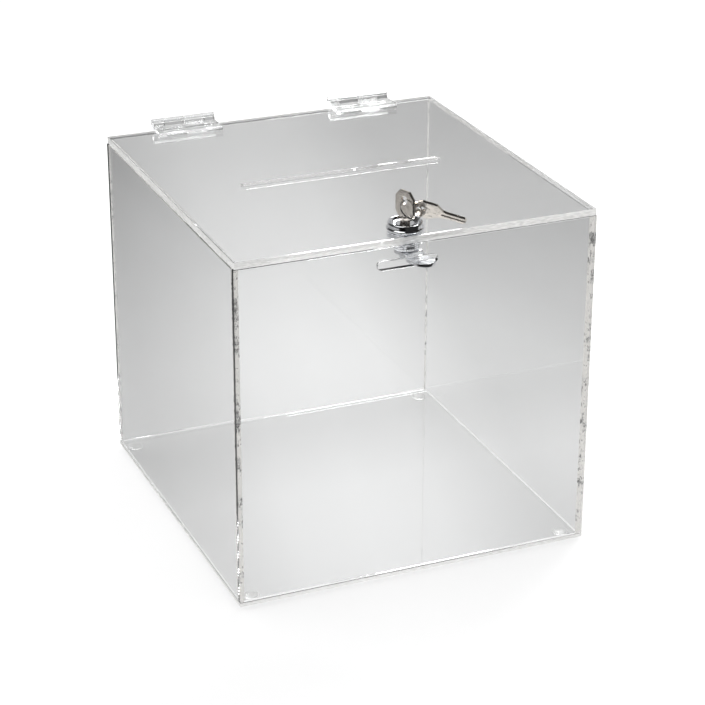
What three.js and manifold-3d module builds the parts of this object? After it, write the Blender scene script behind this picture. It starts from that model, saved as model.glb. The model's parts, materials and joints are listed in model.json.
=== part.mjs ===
// Clear acrylic donation box with a hinged, key-locked lid.
// Millimetres, +Z up, front towards -Y, origin on the ground under the middle of the box.
import * as THREE from 'three';
import { mergeVertices } from 'three/addons/utils/BufferGeometryUtils.js';
import Module from 'manifold-3d';

const wasm = await Module();
wasm.setup();

// Box
const WIDTH = 260;
const DEPTH = 270;
const SHEET = 4;
const BASE_SHEET = 3;
const LID_SHEET = 5;
const FOOT_HEIGHT = 2;
const BODY_TOP = 247;
const JOINT_GAP = 0.1;
const LID_INSET = 0.5;
const LID_REST_GAP = 0.3;
const EDGE_BREAK = 0.3;

// Openings in the sheets
const COIN_SLOT = { length: 150, width: 5 };
const CAM_SLOT = { left: 26, right: 17, height: 6, z: 234 };

// Feet
const FOOT = { radius: 5.5, insetX: 12, insetY: 12 };

// Hinges
const HINGE = {
  length: 48,
  inset: 36,
  leafOnLid: 17,
  leafOnBack: 13.6,
  thickness: 2.5,
  barrel: 2.4,
  bore: 1.15,
  pin: 0.9,
  behind: 3.5,
  above: 5,
  clearance: 0.3,
};
const KNUCKLE_ENDS = [0, 8.5, 24, 39.5, 48];

// Lock, turned so that its key and cam point LOCK.heading degrees from +X
const LOCK = {
  x: -4.4,
  fromFront: 16,
  heading: -73,
  radius: 9,
  acrossFlats: 16,
  threadDepth: 0.45,
  pitch: 1.3,
  flange: 12.7,
  rim: 11.8,
  headHeight: 5,
  bottom: 238.4,
  bore: 6.3,
};
const NUT = { acrossFlats: 22, height: 3 };
const PLUG = { radius: 6, top: 255.4, drive: 8, driveLength: 2.7 };
const KEYWAY = { width: 7.2, thickness: 2.6, bottom: 239 };
const WAFER = { length: 10.4, width: 5, thickness: 0.6, pitch: 2.2, count: 5, top: 252.6 };
const CAM = { halfWidth: 7.5, back: 8, reach: 27, top: 238.1, drop: 2.85, thickness: 2.5 };
const WASHER = { radius: 6, bore: 2.8, thickness: 0.8 };
const SCREW = { head: 4.6, headHeight: 2.6, shank: 2.4, top: 238.2 };

// Keys: local Y runs from the tip to the bow, local X across the blade
const KEY = {
  thickness: 2,
  bowWidth: 17.5,
  bowHeight: 21,
  chamfer: 4.5,
  neckWidth: 8,
  shoulder: 1.5,
  bladeWidth: 6.5,
  bladeLength: 16.2,
  holeRadius: 3,
  holeBelowTop: 6.5,
  bowBottom: 257,
};
const KEY_LENGTH = KEY.bladeLength + KEY.shoulder + KEY.bowHeight;
const KEY_HOLE_Y = KEY_LENGTH - KEY.holeBelowTop;
const RING = { radius: 7.7, wire: 0.55, chord: 7.7, lean: 50.2, roll: -0.6, spareAt: 83.6 };
const SPARE_DIRECTION = new THREE.Vector3(0.912, -0.224, -0.344);
const SPARE_ACROSS = new THREE.Vector3(-0.163, -0.608, 0.777);

// Places worked out from the sizes above
const LID_BOTTOM = BODY_TOP;
const LID_TOP = LID_BOTTOM + LID_SHEET;
const BASE_TOP = FOOT_HEIGHT + BASE_SHEET;
const FRONT = -DEPTH / 2;
const BACK = DEPTH / 2;
const LOCK_AXIS = new THREE.Vector3(LOCK.x, FRONT + LOCK.fromFront, 0);
const LOCK_TURN = THREE.MathUtils.degToRad(LOCK.heading);
const HINGE_AXIS = { y: BACK + HINGE.behind, z: LID_TOP + HINGE.above };
const UP = new THREE.Vector3(0, 0, 1);

const CLEAR = { color: 0xe9ecec, roughness: 0.04, metalness: 0, transparent: true, opacity: 0.35 };
const CHROME = { color: 0xc9ccce, roughness: 0.12, metalness: 1 };
const ZINC = { color: 0xb4b8ba, roughness: 0.3, metalness: 1 };
const NICKEL = { color: 0xcfc6b8, roughness: 0.28, metalness: 1 };
const BRASS = { color: 0xc9a458, roughness: 0.35, metalness: 1 };
const VINYL = { color: 0xdedfdd, roughness: 0.35, metalness: 0, transparent: true, opacity: 0.5 };

const group = new THREE.Group();

function add(name, geometry, finish, place = {}) {
  const mesh = new THREE.Mesh(geometry, new THREE.MeshStandardMaterial(finish));
  mesh.name = name;
  if (place.position) mesh.position.copy(place.position);
  if (place.turn) mesh.rotation.z = place.turn;
  if (place.basis) mesh.quaternion.setFromRotationMatrix(new THREE.Matrix4().makeBasis(...place.basis));
  group.add(mesh);
  return mesh;
}

// Booleans on closed meshes
function solid(geometry) {
  const bare = geometry.index ? geometry.toNonIndexed() : geometry.clone();
  bare.deleteAttribute('normal');
  bare.deleteAttribute('uv');
  const merged = mergeVertices(bare, 1e-4);
  const mesh = new wasm.Mesh({
    numProp: 3,
    vertProperties: new Float32Array(merged.attributes.position.array),
    triVerts: new Uint32Array(merged.index.array),
  });
  return new wasm.Manifold(mesh);
}

function geometryOf(manifold) {
  const mesh = manifold.getMesh();
  const geometry = new THREE.BufferGeometry();
  geometry.setAttribute('position', new THREE.BufferAttribute(mesh.vertProperties, 3));
  geometry.setIndex(new THREE.BufferAttribute(mesh.triVerts, 1));
  geometry.computeVertexNormals();
  return geometry;
}

function block(x, y, z, low) {
  return new THREE.BoxGeometry(x, y, z).translate(0, 0, low + z / 2);
}

function post(radius, low, high, sides = 48) {
  const length = high - low;
  return new THREE.CylinderGeometry(radius, radius, length, sides)
    .rotateX(Math.PI / 2)
    .translate(0, 0, low + length / 2);
}

function turned(profile, sides) {
  const points = profile.map(([r, z]) => new THREE.Vector2(r, z));
  points.push(points[0].clone());
  return new THREE.LatheGeometry(points, sides).rotateX(Math.PI / 2);
}

// Sheets
function rectangle(width, height, x = 0, y = 0) {
  const shape = new THREE.Shape();
  shape.moveTo(x - width / 2, y - height / 2);
  shape.lineTo(x + width / 2, y - height / 2);
  shape.lineTo(x + width / 2, y + height / 2);
  shape.lineTo(x - width / 2, y + height / 2);
  shape.closePath();
  return shape;
}

function roundEndedSlot(left, right, y, width) {
  const r = width / 2;
  const slot = new THREE.Path();
  slot.moveTo(left + r, y - r);
  slot.lineTo(right - r, y - r);
  slot.absarc(right - r, y, r, -Math.PI / 2, Math.PI / 2);
  slot.lineTo(left + r, y + r);
  slot.absarc(left + r, y, r, Math.PI / 2, (3 * Math.PI) / 2);
  return slot;
}

// A round hole with two flats that stops the threaded lock body from turning
function doubleFlatHole(x, y, radius, flat) {
  const half = Math.asin(flat / radius);
  const hole = new THREE.Path();
  hole.absarc(x, y, radius, -half, half);
  hole.absarc(x, y, radius, Math.PI - half, Math.PI + half);
  hole.closePath();
  return hole;
}

function sheet(outline, thickness = SHEET, holes = []) {
  outline.holes.push(...holes);
  const geometry = new THREE.ExtrudeGeometry(outline, {
    depth: thickness - 2 * EDGE_BREAK,
    bevelEnabled: true,
    bevelThickness: EDGE_BREAK,
    bevelSize: EDGE_BREAK,
    bevelOffset: -EDGE_BREAK,
    bevelSegments: 1,
    curveSegments: 16,
  });
  return geometry.translate(0, 0, EDGE_BREAK);
}

function addBox() {
  const wallBottom = BASE_TOP + JOINT_GAP;
  const wallHeight = BODY_TOP - LID_REST_GAP - wallBottom;
  const middle = wallBottom + wallHeight / 2;
  const sideLength = DEPTH - 2 * SHEET - 2 * JOINT_GAP;
  add('base_panel', sheet(rectangle(WIDTH, DEPTH), BASE_SHEET), CLEAR, {
    position: new THREE.Vector3(0, 0, FOOT_HEIGHT),
  });
  const camSlot = roundEndedSlot(
    LOCK.x - CAM_SLOT.left,
    LOCK.x + CAM_SLOT.right,
    CAM_SLOT.z - middle,
    CAM_SLOT.height,
  );
  const front = sheet(rectangle(WIDTH, wallHeight), SHEET, [camSlot]).rotateX(Math.PI / 2);
  add('front_panel', front, CLEAR, { position: new THREE.Vector3(0, FRONT + SHEET, middle) });
  const back = sheet(rectangle(WIDTH, wallHeight)).rotateX(Math.PI / 2);
  add('back_panel', back, CLEAR, { position: new THREE.Vector3(0, BACK, middle) });
  for (const [name, side] of [['left_panel', -1], ['right_panel', 1]]) {
    const wall = sheet(rectangle(wallHeight, sideLength)).rotateY(Math.PI / 2);
    const x = side < 0 ? -WIDTH / 2 : WIDTH / 2 - SHEET;
    add(name, wall, CLEAR, { position: new THREE.Vector3(x, 0, middle) });
  }
}

function addLid() {
  const outline = rectangle(WIDTH - 2 * LID_INSET, DEPTH - 2 * LID_INSET);
  const slot = roundEndedSlot(-COIN_SLOT.length / 2, COIN_SLOT.length / 2, 0, COIN_SLOT.width);
  const play = 0.3;
  const hole = doubleFlatHole(LOCK.x, LOCK_AXIS.y, LOCK.radius + play, LOCK.acrossFlats / 2 + play);
  add('lid_panel', sheet(outline, LID_SHEET, [slot, hole]), CLEAR, {
    position: new THREE.Vector3(0, 0, LID_BOTTOM),
  });
}

function addFeet() {
  const top = FOOT_HEIGHT - JOINT_GAP;
  const r = FOOT.radius;
  const profile = [[0, 0], [r * 0.66, 0], [r * 0.88, 0.4], [r, 1.1], [r, top], [0, top]];
  const points = profile.map(([x, z]) => new THREE.Vector2(x, z));
  for (const [name, sx, sy] of [
    ['foot_front_left', -1, -1],
    ['foot_front_right', 1, -1],
    ['foot_back_left', -1, 1],
    ['foot_back_right', 1, 1],
  ]) {
    const x = sx * (WIDTH / 2 - FOOT.insetX);
    const y = sy * (DEPTH / 2 - FOOT.insetY);
    const pad = new THREE.LatheGeometry(points, 40).rotateX(Math.PI / 2);
    add(name, pad, VINYL, { position: new THREE.Vector3(x, y, 0) });
  }
}

// Hinges: profiles are drawn in (y, z) and extruded along x
function alongX(outline, from, to) {
  const bar = new THREE.ExtrudeGeometry(outline, { depth: to - from, bevelEnabled: false });
  bar.applyMatrix4(
    new THREE.Matrix4().makeBasis(
      new THREE.Vector3(0, 1, 0),
      new THREE.Vector3(0, 0, 1),
      new THREE.Vector3(1, 0, 0),
    ),
  );
  return bar.translate(from, 0, 0);
}

function polygon(points) {
  return new THREE.Shape(points.map(([y, z]) => new THREE.Vector2(y, z)));
}

function rod(radius, from, to, sides = 32) {
  const length = to - from;
  return new THREE.CylinderGeometry(radius, radius, length, sides)
    .rotateZ(Math.PI / 2)
    .translate(from + length / 2, HINGE_AXIS.y, HINGE_AXIS.z);
}

function leaf(start, plate, web, knuckles) {
  let body = solid(alongX(polygon(plate), start, start + HINGE.length));
  for (const n of knuckles) {
    const from = start + KNUCKLE_ENDS[n] + (n ? HINGE.clearance / 2 : 0);
    const last = n + 1 === KNUCKLE_ENDS.length - 1;
    const to = start + KNUCKLE_ENDS[n + 1] - (last ? 0 : HINGE.clearance / 2);
    body = body.add(solid(alongX(polygon(web), from, to)));
    body = body.add(solid(rod(HINGE.barrel, from, to)));
  }
  return geometryOf(body.subtract(solid(rod(HINGE.bore, start - 1, start + HINGE.length + 1))));
}

function addHinge(side, start) {
  const t = HINGE.thickness;
  const low = LID_TOP + JOINT_GAP;
  const edge = BACK - LID_INSET;
  const front = edge - HINGE.leafOnLid;
  const { y, z } = HINGE_AXIS;
  const lidPlate = [[front, low], [edge, low], [edge, low + t], [front + 1.2, low + t], [front, low + 1]];
  const lidWeb = [[edge - 4, low + t - 0.2], [edge - 0.5, low], [y, z - HINGE.barrel], [y - 0.6, z + 2.3]];
  const face = BACK + JOINT_GAP;
  const foot = LID_TOP - HINGE.leafOnBack;
  const shelf = LID_TOP - 1;
  const backPlate = [[face, foot], [face + t - 1.2, foot], [face + t, foot + 1.2], [face + t, shelf], [face, shelf]];
  const backWeb = [[face, shelf - 3], [face + t, shelf - 3], [y + HINGE.barrel - 0.1, z - 0.8], [y - 2.3, z + 0.6], [face, shelf + 1]];
  add(`hinge_${side}_lid_leaf`, leaf(start, lidPlate, lidWeb, [0, 2]), CLEAR);
  add(`hinge_${side}_back_leaf`, leaf(start, backPlate, backWeb, [1, 3]), CLEAR);
  add(`hinge_${side}_pin`, rod(HINGE.pin, start + 0.5, start + HINGE.length - 0.5), CLEAR);
}

// Lock: profiles are drawn in (radius, z)
function addLockHousing() {
  const { radius, threadDepth, pitch, bottom, bore, flange, rim } = LOCK;
  const seat = LID_TOP + JOINT_GAP;
  const top = LID_TOP + LOCK.headHeight;
  const profile = [[bore, bottom], [radius - threadDepth, bottom]];
  for (let z = bottom + 0.4; z < seat - pitch; z += pitch) {
    profile.push([radius - threadDepth, z]);
    profile.push([radius, z + pitch / 2]);
  }
  profile.push([radius, seat]);
  profile.push([flange, seat], [flange, seat + 1], [flange - 0.4, seat + 1.5], [rim, seat + 1.8]);
  profile.push([rim, top - 0.7], [rim - 0.3, top - 0.2], [rim - 0.8, top]);
  profile.push([rim - 1.3, top - 0.2], [rim - 2.2, top - 1.9], [bore + 1.2, top - 2.4]);
  profile.push([bore + 0.4, top - 1.5], [bore, top - 1.6]);
  const reach = 2 * radius;
  const shaving = (side) => {
    const cut = block(2 * reach, reach, seat - bottom + 1, bottom - 1);
    return solid(cut.translate(0, side * (LOCK.acrossFlats / 2 + reach / 2), 0));
  };
  const body = solid(turned(profile, 56)).subtract(shaving(-1)).subtract(shaving(1));
  add('lock_housing', geometryOf(body), CHROME, { position: LOCK_AXIS });
}

function addLockNut() {
  const top = LID_BOTTOM - JOINT_GAP;
  const corner = NUT.acrossFlats / Math.sqrt(3);
  const hexagon = post(corner, top - NUT.height, top, 6).rotateZ(Math.PI / 6);
  const hole = post(LOCK.radius + 0.3, top - NUT.height - 1, top + 1);
  const softened = new THREE.SphereGeometry(corner * 1.02, 64, 32).scale(1, 1, 0.26);
  const dome = solid(softened.translate(0, 0, top - NUT.height / 2));
  const nut = solid(hexagon).intersect(dome).subtract(solid(hole));
  add('lock_nut', geometryOf(nut), CHROME, { position: LOCK_AXIS });
}

function addPlug() {
  const driveBottom = LOCK.bottom - PLUG.driveLength;
  let plug = solid(post(PLUG.radius, LOCK.bottom, PLUG.top));
  plug = plug.add(solid(block(PLUG.drive, PLUG.drive, PLUG.driveLength + 1, driveBottom)));
  const keyway = block(KEYWAY.width, KEYWAY.thickness, PLUG.top - KEYWAY.bottom + 1, KEYWAY.bottom);
  plug = plug.subtract(solid(keyway));
  plug = plug.subtract(solid(post(SCREW.shank + 0.3, driveBottom - 1, SCREW.top + 0.4, 32)));
  const play = 0.2;
  for (let n = 0; n < WAFER.count; n += 1) {
    const low = WAFER.top - n * WAFER.pitch - play;
    const slot = block(WAFER.length + 2 * play, WAFER.width + 2 * play, WAFER.thickness + 2 * play, low);
    plug = plug.subtract(solid(slot));
  }
  add('lock_plug', geometryOf(plug), CHROME, { position: LOCK_AXIS, turn: LOCK_TURN });
}

function addWafers() {
  for (let n = 0; n < WAFER.count; n += 1) {
    const low = WAFER.top - n * WAFER.pitch;
    const plate = solid(block(WAFER.length, WAFER.width, WAFER.thickness, low));
    const window = solid(block(KEYWAY.width, KEYWAY.thickness, WAFER.thickness + 2, low - 1));
    add(`lock_wafer_${n + 1}`, geometryOf(plate.subtract(window)), BRASS, {
      position: LOCK_AXIS,
      turn: LOCK_TURN,
    });
  }
}

function addCam() {
  const { halfWidth, back, reach, top, drop, thickness } = CAM;
  const side = polygon([
    [-back, top],
    [8.5, top],
    [11.5, top - drop],
    [reach, top - drop],
    [reach, top - drop - thickness],
    [10.4, top - drop - thickness],
    [7.4, top - thickness],
    [-back, top - thickness],
  ]);
  const width = 2 * halfWidth + 2;
  const strip = new THREE.ExtrudeGeometry(side, { depth: width, bevelEnabled: false })
    .translate(0, 0, -width / 2)
    .rotateX(Math.PI / 2);
  const plan = new THREE.Shape();
  plan.absarc(reach - halfWidth, 0, halfWidth, -Math.PI / 2, Math.PI / 2);
  plan.absarc(halfWidth - back, 0, halfWidth, Math.PI / 2, (3 * Math.PI) / 2);
  const blank = new THREE.ExtrudeGeometry(plan, { depth: 10, bevelEnabled: false, curveSegments: 28 })
    .translate(0, 0, top - 8);
  const square = block(PLUG.drive + 0.6, PLUG.drive + 0.6, 10, top - 8);
  const cam = solid(strip).intersect(solid(blank)).subtract(solid(square));
  add('lock_cam', geometryOf(cam), CHROME, { position: LOCK_AXIS, turn: LOCK_TURN });
}

function addCamFastening() {
  const washerTop = LOCK.bottom - PLUG.driveLength - 0.15;
  const washerLow = washerTop - WASHER.thickness;
  const ring = turned(
    [[WASHER.bore, washerLow], [WASHER.radius, washerLow], [WASHER.radius, washerTop], [WASHER.bore, washerTop]],
    40,
  );
  add('cam_washer', ring, ZINC, { position: LOCK_AXIS });
  const headTop = washerLow - 0.1;
  const head = post(SCREW.head, headTop - SCREW.headHeight, headTop, 6);
  const shank = post(SCREW.shank, headTop - 1, SCREW.top, 32);
  add('cam_screw', geometryOf(solid(head).add(solid(shank))), ZINC, { position: LOCK_AXIS, turn: LOCK_TURN });
}

// Keys and ring
function keyGeometry() {
  const half = KEY.bladeWidth / 2;
  const neck = KEY.neckWidth / 2;
  const bow = KEY.bowWidth / 2;
  const c = KEY.chamfer;
  const shoulderY = KEY.bladeLength;
  const bowY = shoulderY + KEY.shoulder;
  const shape = new THREE.Shape();
  shape.moveTo(-half + 1.6, 0);
  shape.lineTo(half - 1.6, 0);
  shape.lineTo(half, 1.8);
  shape.lineTo(half, shoulderY);
  shape.lineTo(neck, shoulderY);
  shape.lineTo(neck, bowY);
  shape.lineTo(bow, bowY + 1.35 * c);
  shape.lineTo(bow, KEY_LENGTH - c);
  shape.lineTo(bow - c, KEY_LENGTH);
  shape.lineTo(c - bow, KEY_LENGTH);
  shape.lineTo(-bow, KEY_LENGTH - c);
  shape.lineTo(-bow, bowY + 1.35 * c);
  shape.lineTo(-neck, bowY);
  shape.lineTo(-neck, shoulderY);
  shape.lineTo(-half, shoulderY);
  const depths = [0.5, 1.2, 0.7, 1.4, 0.9];
  const step = 2.4;
  depths.forEach((depth, n) => {
    const y = shoulderY - 1.4 - n * step;
    shape.lineTo(-half, y);
    shape.lineTo(-half + depth, y - 0.8);
    shape.lineTo(-half + depth, y - 1.4);
  });
  shape.lineTo(-half, 1.2);
  const hole = new THREE.Path();
  hole.absarc(0, KEY_HOLE_Y, KEY.holeRadius, 0, 2 * Math.PI, true);
  shape.holes.push(hole);
  const blank = new THREE.ExtrudeGeometry(shape, {
    depth: KEY.thickness - 0.4,
    bevelEnabled: true,
    bevelThickness: 0.2,
    bevelSize: 0.2,
    bevelOffset: -0.2,
    bevelSegments: 1,
    curveSegments: 20,
  });
  return blank.translate(0, 0, 0.2 - KEY.thickness / 2);
}

function rotatedBy(vector, axis, degrees) {
  return vector.clone().applyAxisAngle(axis, THREE.MathUtils.degToRad(degrees));
}

function addKeys() {
  const across = new THREE.Vector3(Math.cos(LOCK_TURN), Math.sin(LOCK_TURN), 0);
  const normal = new THREE.Vector3().crossVectors(UP, across);
  const tip = LOCK_AXIS.clone().setZ(KEY.bowBottom - KEY.shoulder - KEY.bladeLength);
  add('key', keyGeometry(), NICKEL, {
    position: tip,
    basis: [across, UP, new THREE.Vector3().crossVectors(across, UP)],
  });

  // The ring runs through the key's hole and round the back corner of its bow
  const hole = tip.clone().addScaledVector(UP, KEY_HOLE_Y);
  const chord = rotatedBy(UP.clone().negate(), normal, -RING.lean);
  const sideways = rotatedBy(normal, chord, -RING.roll);
  const offset = Math.sqrt(Math.max(0, RING.radius ** 2 - RING.chord ** 2));
  const centre = hole.clone().addScaledVector(chord, RING.chord).addScaledVector(sideways, offset);
  const torus = new THREE.TorusGeometry(RING.radius, RING.wire, 10, 56);
  add('key_ring', torus, ZINC, {
    position: centre,
    basis: [chord, sideways, new THREE.Vector3().crossVectors(chord, sideways)],
  });

  // The spare key hangs from the ring with its tip down towards the lid
  const angle = THREE.MathUtils.degToRad(RING.spareAt);
  const hang = centre
    .clone()
    .addScaledVector(chord, RING.radius * Math.cos(angle))
    .addScaledVector(sideways, RING.radius * Math.sin(angle));
  const up = SPARE_DIRECTION.clone().normalize().negate();
  const width = SPARE_ACROSS.clone().addScaledVector(up, -SPARE_ACROSS.dot(up)).normalize();
  add('spare_key', keyGeometry(), NICKEL, {
    position: hang.clone().addScaledVector(up, -KEY_HOLE_Y),
    basis: [width, up, new THREE.Vector3().crossVectors(width, up)],
  });
}

addBox();
addFeet();
addLid();
addHinge('left', -WIDTH / 2 + HINGE.inset);
addHinge('right', WIDTH / 2 - HINGE.inset - HINGE.length);
addLockHousing();
addLockNut();
addPlug();
addWafers();
addCam();
addCamFastening();
addKeys();

// The origin sits under the middle of the whole part, cam tip and hinge barrels included
const extent = new THREE.Box3().setFromObject(group, true);
const middle = (extent.min.y + extent.max.y) / 2;
for (const piece of group.children) piece.position.y -= middle;

export default group;
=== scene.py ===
"""Looks of the clear acrylic donation box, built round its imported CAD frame.

Metres, +Z up, the lock side is the front at -Y.
"""

import json
import math

import bmesh
import bpy
from mathutils import Matrix, Vector


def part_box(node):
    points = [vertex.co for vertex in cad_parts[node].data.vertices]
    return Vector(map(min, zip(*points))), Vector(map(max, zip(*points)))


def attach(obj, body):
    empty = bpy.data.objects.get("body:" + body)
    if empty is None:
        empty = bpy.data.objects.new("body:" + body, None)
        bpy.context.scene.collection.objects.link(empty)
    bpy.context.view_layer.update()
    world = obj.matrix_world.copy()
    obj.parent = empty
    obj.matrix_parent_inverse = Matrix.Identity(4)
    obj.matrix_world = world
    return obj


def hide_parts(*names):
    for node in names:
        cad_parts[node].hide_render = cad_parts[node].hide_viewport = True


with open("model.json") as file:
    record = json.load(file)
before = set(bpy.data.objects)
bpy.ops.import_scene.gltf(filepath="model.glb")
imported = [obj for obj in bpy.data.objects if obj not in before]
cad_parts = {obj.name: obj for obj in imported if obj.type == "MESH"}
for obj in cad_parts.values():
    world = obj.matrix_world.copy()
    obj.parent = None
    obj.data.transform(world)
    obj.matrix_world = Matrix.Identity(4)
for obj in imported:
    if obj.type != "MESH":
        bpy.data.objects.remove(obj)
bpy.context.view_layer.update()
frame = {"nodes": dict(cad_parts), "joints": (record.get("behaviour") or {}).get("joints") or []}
MM = 0.001
ACRYLIC_IOR = 1.49
# How much lamp light the clear plastic passes, face on and where the light grazes it
PASSED = 0.95
GRAZED = 0.86
# A surface this close to a sheet's side counts as its edge, or as its cemented end
EDGE_DEPTH = 0.00012
END_DEPTH = 0.0004

FILL_STRENGTH = 0.7
FLOOR_WHITE = 0.86
FLOOR_HALF = 8.0
LAMP_TARGET = (0, 0, 0.1)
# Each lamp's name, place, side and power in watts
LAMPS = [
    ("key_light", (0.75, 0.7, 1.5), 0.7, 22),
    ("top_light", (-0.5, 0.1, 1.9), 1.0, 9),
]
LIGHT_BOUNCES = 40
CLEAR_LAYERS = 64

# Camera, turned and raised round the box, in degrees and metres
CAMERA_AZIMUTH = -22.837
CAMERA_ELEVATION = 24.052
CAMERA_ROLL = 0.148
CAMERA_DISTANCE = 1.6417
CAMERA_RIGHT = 0.0079
CAMERA_UP = -0.0131
SENSOR = 36.0
LENS = 115.89
CLIP = (0.05, 50)

SCENE = bpy.context.scene
JOINTS = {j["name"]: j for j in frame["joints"]}


# ---------------------------------------------------------------- node helpers
class Nodes:
    """A node tree, with short calls to add and link nodes."""

    def __init__(self, tree):
        self.tree = tree
        tree.nodes.clear()

    def add(self, kind, inputs=None, **settings):
        node = self.tree.nodes.new("ShaderNode" + kind)
        for key, value in settings.items():
            setattr(node, key, value)
        for key, value in (inputs or {}).items():
            if isinstance(value, bpy.types.NodeSocket):
                self.tree.links.new(value, node.inputs[key])
            else:
                node.inputs[key].default_value = value
        return node

    def math(self, operation, a, b=0.0):
        return self.add("Math", {0: a, 1: b}, operation=operation).outputs[0]

    def object_coords(self, scale=(1, 1, 1)):
        coords = self.add("TexCoord").outputs["Object"]
        return self.add("Mapping", {"Vector": coords, "Scale": scale}).outputs["Vector"]

    def noise(self, vector, scale, detail=3.0, roughness=0.5):
        inputs = {"Vector": vector, "Scale": scale, "Detail": detail, "Roughness": roughness}
        return self.add("TexNoise", inputs).outputs["Fac"]

    def ramp(self, factor, stops):
        node = self.add("ValToRGB", {"Fac": factor})
        elements = node.color_ramp.elements
        while len(elements) < len(stops):
            elements.new(0.5)
        for element, (position, value) in zip(elements, stops):
            element.position = position
            colour = value if hasattr(value, "__len__") else (value, value, value)
            element.color = (*colour, 1.0)
        return node.outputs["Color"]

    def span(self, factor, low, high, out_low, out_high):
        inputs = {0: factor, 1: low, 2: high, 3: out_low, 4: out_high}
        return self.add("MapRange", inputs, clamp=True).outputs[0]

    def bump(self, height, strength, distance):
        inputs = {"Height": height, "Strength": strength, "Distance": distance}
        return self.add("Bump", inputs).outputs["Normal"]


class Shader(Nodes):
    """The node tree of a new material."""

    def __init__(self, name):
        self.material = bpy.data.materials.new(name)
        self.material.use_nodes = True
        super().__init__(self.material.node_tree)

    def finish(self, shader):
        self.add("OutputMaterial", {"Surface": shader})
        return self.material


def clear_plastic(s, colour, roughness, normal):
    inputs = {
        "Base Color": colour,
        "Roughness": roughness,
        "IOR": ACRYLIC_IOR,
        "Transmission Weight": 1.0,
        "Normal": normal,
    }
    return s.add("BsdfPrincipled", inputs).outputs[0]


def white_scatter(s, reflected, passed):
    """A white surface that spreads half its light back and half through."""
    chalk = s.add("BsdfDiffuse", {"Color": (*reflected, 1)}).outputs[0]
    glow = s.add("BsdfTranslucent", {"Color": (*passed, 1)}).outputs[0]
    return s.add("MixShader", {0: 0.5, 1: chalk, 2: glow}).outputs[0]


def let_lamps_through(shader, glass, tint):
    """Lamps and diffuse bounces pass straight through the plastic, less so where they graze it."""
    path = shader.add("LightPath")
    either = shader.math("MAXIMUM", path.outputs["Is Shadow Ray"], path.outputs["Is Diffuse Ray"])
    graze = shader.add("Fresnel", {"IOR": ACRYLIC_IOR}).outputs[0]
    clear = shader.add("BsdfTransparent", {"Color": (tint, tint, tint, 1)}).outputs[0]
    turned = shader.add("BsdfTransparent", {"Color": (GRAZED, GRAZED, GRAZED, 1)}).outputs[0]
    passed = shader.add("MixShader", {0: graze, 1: clear, 2: turned}).outputs[0]
    return shader.add("MixShader", {0: either, 1: glass, 2: passed}).outputs[0]


# ------------------------------------------------------------------- materials
def acrylic(name, tint=(0.985, 0.988, 0.988), smudge=0.02, saw_cut=None, edge=None):
    """Clear sheet with faint smudges, hairline scratches and dust.

    saw_cut gives the Y beyond which the ends are rough, and edge the node whose sides are polished.
    """
    s = Shader(name)
    plain = s.object_coords()
    smears = s.noise(s.object_coords((1, 1, 2.2)), 11.0, 5.0, 0.62)
    roughness = s.span(smears, 0.42, 0.72, 0.0, smudge)
    hairlines = s.noise(s.object_coords((260, 9, 14)), 2.0, 2.0)
    normal = s.bump(hairlines, 0.035, 0.00004)
    dust = s.noise(plain, 900.0, 1.0)
    speck = s.span(dust, 0.74, 0.8, 1.0, 0.9)
    colour = s.add("MixRGB", {0: speck, 1: (0.8, 0.8, 0.8, 1), 2: (*tint, 1)}).outputs[0]
    body = clear_plastic(s, colour, roughness, normal)
    if saw_cut is not None:
        body = add_saw_cut(s, body, plain, saw_cut)
    if edge is not None:
        body = add_polished_edge(s, body, plain, edge)
    return s.finish(let_lamps_through(s, body, PASSED))


def add_polished_edge(s, body, plain, node):
    """The sheet's outer edges scatter a little light, so they read as soft white lines."""
    low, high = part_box(node)
    place = s.add("SeparateXYZ", {0: plain})
    across_axis = []
    for axis in (0, 1):
        at_low = s.math("LESS_THAN", place.outputs[axis], low[axis] + EDGE_DEPTH)
        at_high = s.math("GREATER_THAN", place.outputs[axis], high[axis] - EDGE_DEPTH)
        across_axis.append(s.math("MAXIMUM", at_low, at_high))
    at_edge = s.math("MAXIMUM", *across_axis)
    streak = s.noise(s.object_coords((40, 40, 400)), 6.0, 3.0)
    scatter = white_scatter(s, (0.97, 0.965, 0.95), (0.98, 0.975, 0.96))
    cover = s.math("MULTIPLY", at_edge, s.span(streak, 0.3, 0.7, 0.4, 0.75))
    return s.add("MixShader", {0: cover, 1: body, 2: scatter}).outputs[0]


def add_saw_cut(s, body, plain, ends):
    """Rough cemented ends: bright crystals and dark bubbles up the height of the panel."""
    y = s.add("SeparateXYZ", {0: plain}).outputs[1]
    front = s.math("LESS_THAN", y, ends[0])
    back = s.math("GREATER_THAN", y, ends[1])
    at_end = s.math("MAXIMUM", front, s.math("MULTIPLY", back, 0.8))
    grain = s.noise(s.object_coords((1, 1, 0.6)), 560.0, 6.0, 0.75)
    blotch = s.noise(s.object_coords((1, 1, 0.55)), 190.0, 3.0, 0.6)
    mixed = s.math("ADD", s.math("MULTIPLY", grain, 0.42), s.math("MULTIPLY", blotch, 0.58))
    colour = s.ramp(mixed, [(0.38, 0.05), (0.44, 0.3), (0.48, 0.8), (0.56, 0.98)])
    rough = s.span(grain, 0.35, 0.65, 0.12, 0.6)
    normal = s.bump(grain, 0.9, 0.0006)
    glassy = clear_plastic(s, colour, rough, normal)
    scatter = white_scatter(s, (0.93, 0.91, 0.87), (0.95, 0.93, 0.9))
    chalky = s.span(mixed, 0.43, 0.5, 0.05, 0.97)
    cut = s.add("MixShader", {0: chalky, 1: glassy, 2: scatter}).outputs[0]
    cover = s.math("MULTIPLY", at_end, s.span(mixed, 0.55, 0.68, 1.0, 0.7))
    return s.add("MixShader", {0: cover, 1: body, 2: cut}).outputs[0]


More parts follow.
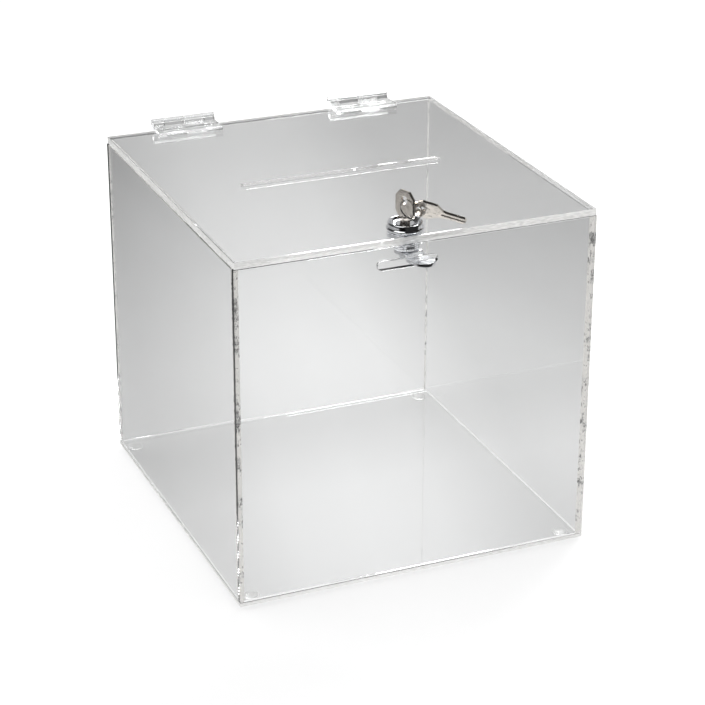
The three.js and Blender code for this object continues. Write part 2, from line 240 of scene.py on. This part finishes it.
def moulded_clear(name, tint, roughness, frost):
    """Moulded clear plastic with slight flow waves and a worn haze."""
    s = Shader(name)
    plain = s.object_coords()
    flow = s.noise(plain, 160.0, 3.0)
    haze = s.noise(plain, 520.0, 4.0)
    worn = s.span(haze, 0.4, 0.75, roughness, roughness + frost)
    body = clear_plastic(s, (*tint, 1), worn, s.bump(flow, 0.12, 0.0004))
    return s.finish(let_lamps_through(s, body, PASSED))


def plated(name, colour, roughness, wear, grain_scale=(1, 1, 1), grain=0.05, dark=0.75):
    """Plated metal: handling marks in the gloss, a fine grain, and duller patches of wear."""
    s = Shader(name)
    plain = s.object_coords()
    marks = s.noise(plain, 330.0, 5.0, 0.65)
    lines = s.noise(s.object_coords(grain_scale), 900.0, 3.0, 0.6)
    dull = tuple(c * dark for c in colour)
    patch = s.span(marks, 0.52, 0.75, 0.0, 1.0)
    tint = s.add("MixRGB", {0: patch, 1: (*colour, 1), 2: (*dull, 1)}).outputs[0]
    inputs = {
        "Base Color": tint,
        "Metallic": 1.0,
        "Roughness": s.span(marks, 0.35, 0.75, roughness, roughness + wear),
        "Normal": s.bump(lines, grain, 0.0002),
    }
    return s.finish(s.add("BsdfPrincipled", inputs).outputs[0])


SHIFT_Y = (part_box("front_panel")[0].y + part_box("back_panel")[1].y) / 2
side_low, side_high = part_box("left_panel")
SAW_ENDS = (side_low.y + END_DEPTH, side_high.y - END_DEPTH)

SHEET = acrylic("acrylic_sheet")
BASE_SHEET = acrylic("acrylic_base_sheet", edge="base_panel")
SIDE_SHEET = acrylic("acrylic_side_sheet", saw_cut=SAW_ENDS)
LID_SHEET = acrylic("acrylic_lid_sheet", smudge=0.03, edge="lid_panel")
HINGE_PLASTIC = moulded_clear("hinge_plastic", (0.975, 0.98, 0.98), 0.02, 0.08)
FOOT_VINYL = moulded_clear("foot_vinyl", (0.86, 0.86, 0.85), 0.1, 0.15)
CHROME = plated("lock_chrome", (0.82, 0.83, 0.85), 0.05, 0.1)
CAM_STEEL = plated("cam_steel", (0.78, 0.79, 0.81), 0.09, 0.16, (1, 6, 1), 0.06)
ZINC = plated("zinc_steel", (0.66, 0.68, 0.7), 0.22, 0.2)
BRASS = plated("wafer_brass", (0.76, 0.6, 0.3), 0.25, 0.2)
NICKEL = plated("key_nickel", (0.8, 0.75, 0.69), 0.13, 0.2, (3, 3, 1), 0.1, 0.5)
RING_WIRE = plated("ring_wire", (0.34, 0.33, 0.32), 0.08, 0.12)


# The CAD nodes that keep their shape, by how their names start
KEPT_NODES = {
    "front_panel": SHEET,
    "back_panel": SHEET,
    "base_panel": BASE_SHEET,
    "left_panel": SIDE_SHEET,
    "right_panel": SIDE_SHEET,
    "lid_panel": LID_SHEET,
    "hinge_": HINGE_PLASTIC,
    "lock_wafer": BRASS,
    "lock_plug": CHROME,
    "cam_washer": ZINC,
    "cam_screw": ZINC,
}


def use(node, material):
    """Give a CAD node, kept as it is, its finished material."""
    mesh = frame["nodes"][node].data
    mesh.materials.clear()
    mesh.materials.append(material)


# --------------------------------------------------------------- mesh helpers
def piece(name, mesh, material, body, replaces, smooth=40):
    """A new visible piece that rides on a body and stands for CAD nodes."""
    mesh.materials.clear()
    mesh.materials.append(material)
    obj = bpy.data.objects.new(name, mesh)
    SCENE.collection.objects.link(obj)
    for face in mesh.polygons:
        face.use_smooth = True
    mesh.set_sharp_from_angle(angle=math.radians(smooth))
    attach(obj, body)
    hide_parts(*replaces)
    return obj


def to_mesh(name, bm):
    """Turn the faces outward and hand the work over as a mesh."""
    bmesh.ops.recalc_face_normals(bm, faces=bm.faces)
    mesh = bpy.data.meshes.new(name)
    bm.to_mesh(mesh)
    bm.free()
    return mesh


def lathe(name, profile, steps):
    """A closed mesh turned round Z from (radius, z) points, which end on the axis or join up."""
    bm = bmesh.new()
    rings = []
    for r, z in profile:
        if r < 1e-9:
            rings.append([bm.verts.new((0, 0, z))])
            continue
        turns = [2 * math.pi * k / steps for k in range(steps)]
        rings.append([bm.verts.new((r * math.cos(t), r * math.sin(t), z)) for t in turns])
    pairs = list(zip(rings, rings[1:]))
    if profile[0][0] > 1e-9:
        pairs.append((rings[-1], rings[0]))
    for a, b in pairs:
        for k in range(steps):
            n = (k + 1) % steps
            corners = [a[k % len(a)], a[n % len(a)], b[n % len(b)], b[k % len(b)]]
            unique = list(dict.fromkeys(corners))
            if len(unique) > 2:
                bm.faces.new(unique)
    return to_mesh(name, bm)


def cut_out(name, outline, holes, thickness, rounding, resolution=3):
    """A flat plate from an outline and holes in XY, centred on Z, with rounded edges."""
    curve = bpy.data.curves.new(name, "CURVE")
    curve.dimensions = "2D"
    curve.fill_mode = "BOTH"
    curve.extrude = thickness / 2 - rounding
    curve.bevel_depth = rounding
    curve.bevel_resolution = resolution
    curve.offset = -rounding
    for loop in [outline, *holes]:
        spline = curve.splines.new("POLY")
        spline.points.add(len(loop) - 1)
        for point, (x, y) in zip(spline.points, loop):
            point.co = (x, y, 0, 1)
        spline.use_cyclic_u = True
    holder = bpy.data.objects.new(name, curve)
    SCENE.collection.objects.link(holder)
    bpy.context.view_layer.update()
    solid = holder.evaluated_get(bpy.context.evaluated_depsgraph_get())
    mesh = bpy.data.meshes.new_from_object(solid)
    bpy.data.objects.remove(holder)
    bm = bmesh.new()
    bm.from_mesh(mesh)
    bmesh.ops.remove_doubles(bm, verts=bm.verts, dist=1e-6)
    bmesh.ops.recalc_face_normals(bm, faces=bm.faces)
    bm.to_mesh(mesh)
    bm.free()
    return mesh


def arc(cx, cy, r, start, end, count):
    angles = [math.radians(start + (end - start) * k / count) for k in range(count + 1)]
    return [(cx + r * math.cos(a), cy + r * math.sin(a)) for a in angles]


def circle(cx, cy, r, count=40):
    return arc(cx, cy, r, 0, 360 - 360 / count, count - 1)


def placed(mesh, matrix):
    mesh.transform(matrix)
    mesh.update()
    return mesh


# ------------------------------------------------------------------------ lock
lock_axis = Vector(JOINTS["plug_turn"]["pos_m"])
LOCK_TURN = math.radians(-73)
NUT_ACROSS = 22 * MM
NUT_BORE = 9.3 * MM
FLATS_HALF = 8.0 * MM
CAM_TOP = 238.1 * MM
AT_LOCK = Matrix.Translation((lock_axis.x, lock_axis.y, 0))
AT_PLUG = AT_LOCK @ Matrix.Rotation(LOCK_TURN, 4, "Z")
housing_low, housing_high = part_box("lock_housing")
lid_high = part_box("lid_panel")[1]


def head_profile():
    """The flanged head with its raised ring and dished face, above the threaded body."""
    seat = lid_high.z + 0.1 * MM
    top = housing_high.z
    bottom = housing_low.z
    core, crest, pitch, bore = 8.5 * MM, 9.0 * MM, 1.3 * MM, 6.3 * MM
    profile = [(bore, bottom), (core - 0.3 * MM, bottom), (core, bottom + 0.3 * MM)]
    z = bottom + 0.5 * MM
    while z < seat - pitch:
        profile += [(core, z), (core + 0.06 * MM, z + 0.12 * pitch)]
        profile += [(crest - 0.04 * MM, z + 0.46 * pitch), (crest, z + 0.5 * pitch)]
        profile += [(crest - 0.04 * MM, z + 0.54 * pitch), (core + 0.06 * MM, z + 0.88 * pitch)]
        z += pitch
    profile.append((crest, seat))
    shape = [
        (12.3, 0.0), (12.6, 0.12), (12.7, 0.4), (12.7, 0.8), (12.62, 1.1), (12.4, 1.35), (12.0, 1.5),
        (11.9, 1.62), (11.86, 1.8), (11.85, 3.6), (11.8, 4.2), (11.62, 4.6), (11.3, 4.84), (10.95, 4.9),
        (10.6, 4.82), (10.3, 4.55), (10.0, 4.0), (9.6, 3.35), (9.0, 2.9), (8.2, 2.66), (7.5, 2.6),
        (7.2, 2.75), (7.0, 3.1), (6.8, 3.3), (6.5, 3.35), (6.3, 3.2),
    ]
    profile += [(r * MM, seat + z * MM) for r, z in shape]
    return [(r, min(z, top)) for r, z in profile]


def build_housing():
    """The lock's head and its threaded body, cut to two flats below the lid's top."""
    mesh = lathe("lock_head", head_profile(), 128)
    for v in mesh.vertices:
        if v.co.z < lid_high.z and abs(v.co.y) > FLATS_HALF:
            v.co.y = math.copysign(FLATS_HALF, v.co.y)
    piece("lock_head", placed(mesh, AT_LOCK), CHROME, "lid", ["lock_housing"])


def build_nut():
    """A hex nut with its corners rounded off above and below."""
    low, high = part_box("lock_nut")
    steps, bore = 144, NUT_BORE

    def radius(turn, limit):
        folded = (turn + math.pi / 6) % (math.pi / 3) - math.pi / 6
        return min(NUT_ACROSS / 2 / math.cos(folded), limit)

    rows = [
        (low.z + 0.3 * MM, None, bore), (low.z, None, bore + 0.3 * MM), (low.z, 10.9 * MM, None),
        (low.z + 0.35 * MM, 12.0 * MM, None), (low.z + 0.75 * MM, 13 * MM, None),
        (high.z - 0.75 * MM, 13 * MM, None), (high.z - 0.35 * MM, 12.0 * MM, None),
        (high.z, 10.9 * MM, None), (high.z, None, bore + 0.3 * MM), (high.z - 0.3 * MM, None, bore),
    ]
    bm = bmesh.new()
    rings = []
    for z, limit, exact in rows:
        ring = []
        for k in range(steps):
            t = 2 * math.pi * k / steps
            r = exact if exact else radius(t - math.pi / 2, limit)
            ring.append(bm.verts.new((r * math.cos(t), r * math.sin(t), z)))
        rings.append(ring)
    for a, b in zip(rings, rings[1:] + rings[:1]):
        for k in range(steps):
            n = (k + 1) % steps
            bm.faces.new((a[k], a[n], b[n], b[k]))
    mesh = to_mesh("lock_nut_hex", bm)
    piece("lock_nut_hex", placed(mesh, AT_LOCK), CHROME, "lid", ["lock_nut"], 30)


def build_cam():
    """The flat cam with its crank: a cut-out plate bent down between its hub and its tip."""
    half, back, reach, drop, thick = 7.5 * MM, 8 * MM, 27 * MM, 2.85 * MM, 2.5 * MM
    tip = arc(reach - half, 0, half, -90, 90, 32)
    hub = arc(half - back, 0, half, 90, 270, 32)
    side = 4.3 * MM
    corner = 0.5 * MM
    hole = []
    for sx, sy, start in [(1, 1, 0), (-1, 1, 90), (-1, -1, 180), (1, -1, 270)]:
        hole += arc(sx * (side - corner), sy * (side - corner), corner, start, start + 90, 4)
    mesh = cut_out("lock_cam_plate", tip + hub, [hole], thick, 0.35 * MM)
    bm = bmesh.new()
    bm.from_mesh(mesh)
    start, end = 7.6 * MM, 11.4 * MM
    for k in range(13):
        x = start + (end - start) * k / 12
        geom = bm.verts[:] + bm.edges[:] + bm.faces[:]
        bmesh.ops.bisect_plane(bm, geom=geom, plane_co=(x, 0, 0), plane_no=(1, 0, 0))
    for v in bm.verts:
        t = min(1.0, max(0.0, (v.co.x - start) / (end - start)))
        v.co.z -= drop * t * t * (3 - 2 * t)
    bm.to_mesh(mesh)
    bm.free()
    mesh = placed(mesh, AT_PLUG @ Matrix.Translation((0, 0, CAM_TOP - thick / 2)))
    piece("lock_cam_plate", mesh, CAM_STEEL, "plug", ["lock_cam"], 35)


# ------------------------------------------------------------------------ keys
KEY_THICK = 2.0
KEY_BLADE = 16.2
KEY_SHOULDER = 1.5
KEY_BOW = 21.0
KEY_LENGTH = KEY_BLADE + KEY_SHOULDER + KEY_BOW
KEY_HOLE = KEY_LENGTH - 6.5
KEY_HOLE_RADIUS = 3.0
BOW_HALF = 8.75
BOW_CHAMFER = 4.5
NECK_HALF = 4
BLADE_HALF = 3.25
TIP_HALF = 1.65
CUT_DEPTHS = [0.5, 1.2, 0.7, 1.4, 0.9]
CUT_PITCH = 2.4
GROOVE_DEPTH = 0.55

# How the spare key lies: from its bow to its tip, and across its blade
SPARE_DIRECTION = (0.912, -0.224, -0.344)
SPARE_ACROSS = (-0.163, -0.608, 0.777)


def key_outline():
    """Blade with its cuts, shoulder and chamfered bow, from the tip up, in millimetres."""
    bow_low = KEY_BLADE + KEY_SHOULDER
    side = BLADE_HALF
    right = [(TIP_HALF, 0), (side, 1.8), (side, KEY_BLADE), (NECK_HALF, KEY_BLADE), (NECK_HALF, bow_low)]
    bow = [
        (BOW_HALF, bow_low + 6.08),
        (BOW_HALF, KEY_LENGTH - BOW_CHAMFER),
        (BOW_HALF - BOW_CHAMFER, KEY_LENGTH),
    ]
    mirror = [(-x, y) for x, y in reversed(bow)]
    left = [(-NECK_HALF, bow_low), (-NECK_HALF, KEY_BLADE), (-side, KEY_BLADE)]
    cuts = []
    for k, depth in enumerate(CUT_DEPTHS):
        y = KEY_BLADE - 1.4 - CUT_PITCH * k
        cuts += [(-side, y), (-side + depth, y - 0.8), (-side + depth, y - 1.4)]
    return right + bow + mirror + left + cuts + [(-side, 1.2), (-TIP_HALF, 0)]


def key_mesh(name):
    outline = [(x * MM, y * MM) for x, y in key_outline()]
    hole = circle(0, KEY_HOLE * MM, KEY_HOLE_RADIUS * MM)
    mesh = cut_out(name, outline, [hole], KEY_THICK * MM, 0.22 * MM)
    return mill_grooves(mesh)


def mill_grooves(mesh):
    """A keyway groove down each face of the blade."""
    bm = bmesh.new()
    bm.from_mesh(mesh)
    for x in (-0.4, -0.1, 1.0, 1.3):
        geom = bm.verts[:] + bm.edges[:] + bm.faces[:]
        bmesh.ops.bisect_plane(bm, geom=geom, plane_co=(x * MM, 0, 0), plane_no=(1, 0, 0))
    for y in (0.9, KEY_BLADE + 1.0, KEY_BLADE + 1.6):
        geom = bm.verts[:] + bm.edges[:] + bm.faces[:]
        bmesh.ops.bisect_plane(bm, geom=geom, plane_co=(0, y * MM, 0), plane_no=(0, 1, 0))
    for v in bm.verts:
        inside = -0.15 * MM < v.co.x < 1.05 * MM and v.co.y < (KEY_BLADE + 1.1) * MM
        if inside and abs(v.co.z) > 0.9 * MM:
            v.co.z -= math.copysign(GROOVE_DEPTH * MM, v.co.z)
    bm.to_mesh(mesh)
    bm.free()
    return mesh


def build_keys():
    """One key upright in the lock, and the same key lying on the ring."""
    mesh = key_mesh("key_blank")
    across = Vector((math.cos(LOCK_TURN), math.sin(LOCK_TURN), 0))
    up = Vector((0, 0, 1))
    tip = Vector((lock_axis.x, lock_axis.y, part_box("key")[0].z))
    upright = basis(across, up, tip)
    piece("key_in_lock", placed(mesh.copy(), upright), NICKEL, "key", ["key"], 28)
    hole = Vector(JOINTS["spare_key_swing"]["pos_m"])
    up = -Vector(SPARE_DIRECTION).normalized()
    across = Vector(SPARE_ACROSS)
    across = (across - up * across.dot(up)).normalized()
    lying = basis(across, up, hole - up * KEY_HOLE * MM)
    piece("key_spare", placed(mesh, lying), NICKEL, "spare_key", ["spare_key"], 28)


def basis(x, y, origin):
    """The placement whose X and Y run the given ways from an origin."""
    z = x.cross(y)
    matrix = Matrix((x, y, z)).transposed().to_4x4()
    matrix.translation = origin
    return matrix


RING_RADIUS = 7.7 * MM
WIRE_RADIUS = 0.29 * MM
RING_TURNS = 2
RING_STEPS = 192
# How far each turn lies to its side of the ring's middle plane
TURN_OFFSET = 0.27 * MM


def build_ring():
    """A split ring: two close turns of spring wire."""
    points = [v.co for v in frame["nodes"]["key_ring"].data.vertices]
    centre = sum(points, Vector()) / len(points)
    hole = Vector(JOINTS["ring_swing"]["pos_m"])
    hang = Vector(JOINTS["spare_key_swing"]["pos_m"])
    x = (hole - centre).normalized()
    normal = x.cross(hang - centre).normalized()
    y = normal.cross(x)
    start = math.radians(200)
    path = []
    for k in range(RING_STEPS + 1):
        t = k / RING_STEPS
        a = start + RING_TURNS * 2 * math.pi * t * 0.995
        slide = TURN_OFFSET * math.tanh((t - 0.5) * 14)
        out = x * RING_RADIUS * math.cos(a) + y * RING_RADIUS * math.sin(a)
        path.append(centre + out + normal * slide)
    mesh = tube("ring_wire", path, WIRE_RADIUS, 12)
    piece("ring_wire", mesh, RING_WIRE, "ring", ["key_ring"], 60)


def tube(name, path, radius, sides):
    """A round wire along a path, with its ends closed."""
    bm = bmesh.new()
    rings = []
    for k, point in enumerate(path):
        ahead = path[min(k + 1, len(path) - 1)] - path[max(k - 1, 0)]
        ahead.normalize()
        if k == 0:
            side = ahead.orthogonal().normalized()
        else:
            side = (side - ahead * side.dot(ahead)).normalized()
        other = ahead.cross(side)
        ring = []
        for n in range(sides):
            a = 2 * math.pi * n / sides
            ring.append(bm.verts.new(point + side * radius * math.cos(a) + other * radius * math.sin(a)))
        rings.append(ring)
    for a, b in zip(rings, rings[1:]):
        for n in range(sides):
            m = (n + 1) % sides
            bm.faces.new((a[n], a[m], b[m], b[n]))
    bm.faces.new(rings[0][::-1])
    bm.faces.new(rings[-1])
    return to_mesh(name, bm)


# ------------------------------------------------------------------------ feet
def build_feet():
    """Domed bumpers, each in place of its CAD foot."""
    shape = [
        (0, 0), (2.6, 0.02), (3.6, 0.08), (4.4, 0.28), (5.0, 0.62),
        (5.35, 1.05), (5.5, 1.5), (5.5, 1.86), (0, 1.86),
    ]
    profile = [(r * MM, z * MM) for r, z in shape]
    for node in [n for n in frame["nodes"] if n.startswith("foot_")]:
        low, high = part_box(node)
        mesh = lathe(node + "_pad", profile, 64)
        at = Matrix.Translation(((low.x + high.x) / 2, (low.y + high.y) / 2, 0))
        piece(node + "_pad", placed(mesh, at), FOOT_VINYL, "box", [node], 30)


# ----------------------------------------------------------------------- stage
def only_reflected(s, path):
    """One for mirrored rays alone, since a refracted ray counts as glossy too."""
    straight = s.math("SUBTRACT", 1.0, path["Is Transmission Ray"])
    return s.math("MULTIPLY", path["Is Glossy Ray"], straight)


def floor_material():
    """White where it is seen directly.

    Seen through the plastic it has a painted pool of light in the middle, falling off to painted shade
    at the back and the sides.
    """
    s = Shader("sweep")
    parts = s.add("SeparateXYZ", {0: s.add("TexCoord").outputs["Object"]})
    x, y = parts.outputs[0], parts.outputs[1]
    middle = s.math("ADD", s.math("MULTIPLY", y, 0.25), 0.01)
    aside = s.math("ABSOLUTE", s.math("SUBTRACT", x, middle))
    # Painted light and shade: seen through the plastic, the floor colour is lighter in a middle band and
    # darker towards the sides and the back
    across = s.ramp(
        s.span(aside, 0.0, 0.4, 0, 1),
        [(0.0, 1.0), (0.14, 0.96), (0.36, 0.68), (1.0, 0.54)],
    )
    along = s.ramp(
        s.span(y, -0.2, 1.4, 0, 1),
        [(0.0, 0.8), (0.13, 0.8), (0.19, 0.68), (0.3, 0.6), (0.42, 0.5), (0.6, 0.38), (1.0, 0.31)],
    )
    painted_falloff = s.add("MixRGB", {0: 1.0, 1: across, 2: along}, blend_type="MULTIPLY").outputs[0]
    path = s.add("LightPath").outputs
    # Painted shade: to mirrored rays the floor is darker to the front and the left, away from the box
    lit = s.math("MULTIPLY", s.span(y, -0.45, -0.22, 0.05, 1.0), s.span(x, -0.45, -0.3, 0.05, 1.0))
    unlit = s.math("SUBTRACT", 1.0, lit)
    dim = s.math("SUBTRACT", 1.0, s.math("MULTIPLY", only_reflected(s, path), unlit))
    painted_falloff = s.add("MixRGB", {0: 1.0, 1: painted_falloff, 2: dim}, blend_type="MULTIPLY").outputs[0]
    white = (FLOOR_WHITE, FLOOR_WHITE, FLOOR_WHITE, 1)
    colour = s.add("MixRGB", {0: path["Is Camera Ray"], 1: painted_falloff, 2: white}).outputs[0]
    return s.finish(s.add("BsdfDiffuse", {"Color": colour}).outputs[0])


def build_stage():
    """A large flat floor at the height of the feet."""
    mesh = bpy.data.meshes.new("studio_floor")
    h = FLOOR_HALF
    mesh.from_pydata([(-h, -h, 0), (h, -h, 0), (h, h, 0), (-h, h, 0)], [], [(0, 1, 2, 3)])
    floor = bpy.data.objects.new("studio_floor", mesh)
    SCENE.collection.objects.link(floor)
    mesh.materials.append(floor_material())


def build_world():
    """A bright room for what is seen through the plastic, and a darker one for what is mirrored."""
    world = bpy.data.worlds.new("studio")
    SCENE.world = world
    world.use_nodes = True
    s = Nodes(world.node_tree)
    x, y, z = s.add("SeparateXYZ", {0: s.add("TexCoord").outputs["Generated"]}).outputs
    through = s.ramp(z, [(0.0, 0.8), (0.12, 0.85), (0.35, 0.95), (0.6, 1.0), (1.0, 1.0)])
    mirrored = s.ramp(z, [(0.0, 0.5), (0.12, 0.55), (0.4, 0.5), (0.52, 0.08), (1.0, 0.04)])
    # The front and the left of the studio are a dark room, which the metal mirrors
    front = s.span(y, -0.35, 0.1, 0.06, 1.0)
    left = s.span(x, -0.65, -0.25, 0.08, 1.0)
    dim = s.math("MULTIPLY", front, left)
    darker = s.add("MixRGB", {0: 1.0, 1: mirrored, 2: dim}, blend_type="MULTIPLY").outputs[0]
    path = s.add("LightPath").outputs
    reflected = only_reflected(s, path)
    pick = s.add("MixRGB", {0: reflected, 1: through, 2: darker}).outputs[0]
    seen = s.add("Background", {"Color": pick}).outputs[0]
    fill = s.add("Background", {"Color": (1, 1, 1, 1), "Strength": FILL_STRENGTH}).outputs[0]
    mix = s.add("MixShader", {0: path["Is Diffuse Ray"], 1: seen, 2: fill}).outputs[0]
    s.add("OutputWorld", {"Surface": mix})


def softbox(name, position, side, power):
    """A soft square lamp aimed at the box."""
    light = bpy.data.lights.new(name, "AREA")
    light.shape = "RECTANGLE"
    light.size, light.size_y = side, side
    light.energy = power
    holder = bpy.data.objects.new(name, light)
    SCENE.collection.objects.link(holder)
    holder.location = position
    holder.rotation_mode = "QUATERNION"
    aim = Vector(LAMP_TARGET) - Vector(position)
    holder.rotation_quaternion = aim.to_track_quat("-Z", "Y")


def build_camera():
    data = bpy.data.cameras.new("camera")
    data.sensor_width = SENSOR
    data.lens = LENS
    data.clip_start, data.clip_end = CLIP
    camera = bpy.data.objects.new("camera", data)
    SCENE.collection.objects.link(camera)
    a, e = math.radians(CAMERA_AZIMUTH), math.radians(CAMERA_ELEVATION)
    back = Vector((math.sin(a) * math.cos(e), -math.cos(a) * math.cos(e), math.sin(e)))
    right = Vector((math.cos(a), math.sin(a), 0))
    up = back.cross(right)
    roll = math.radians(CAMERA_ROLL)
    level_right, level_up = right, up
    right = level_right * math.cos(roll) + level_up * math.sin(roll)
    up = level_up * math.cos(roll) - level_right * math.sin(roll)
    bottom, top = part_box("base_panel")[0].z, lid_high.z
    centre = Vector((0, SHIFT_Y, (bottom + top) / 2))
    matrix = Matrix((right, up, back)).transposed().to_4x4()
    matrix.translation = centre + back * CAMERA_DISTANCE + right * CAMERA_RIGHT + up * CAMERA_UP
    camera.matrix_world = matrix
    SCENE.camera = camera


# ----------------------------------------------------------------------- build
for starts, material in KEPT_NODES.items():
    for name in frame["nodes"]:
        if name.startswith(starts):
            use(name, material)
build_housing()
build_nut()
build_cam()
build_keys()
build_ring()
build_feet()
build_stage()
build_world()
for lamp in LAMPS:
    softbox(*lamp)
build_camera()
SCENE.view_settings.view_transform = "Standard"
SCENE.cycles.max_bounces = LIGHT_BOUNCES
SCENE.cycles.transmission_bounces = LIGHT_BOUNCES
SCENE.cycles.glossy_bounces = LIGHT_BOUNCES
SCENE.cycles.transparent_max_bounces = CLEAR_LAYERS
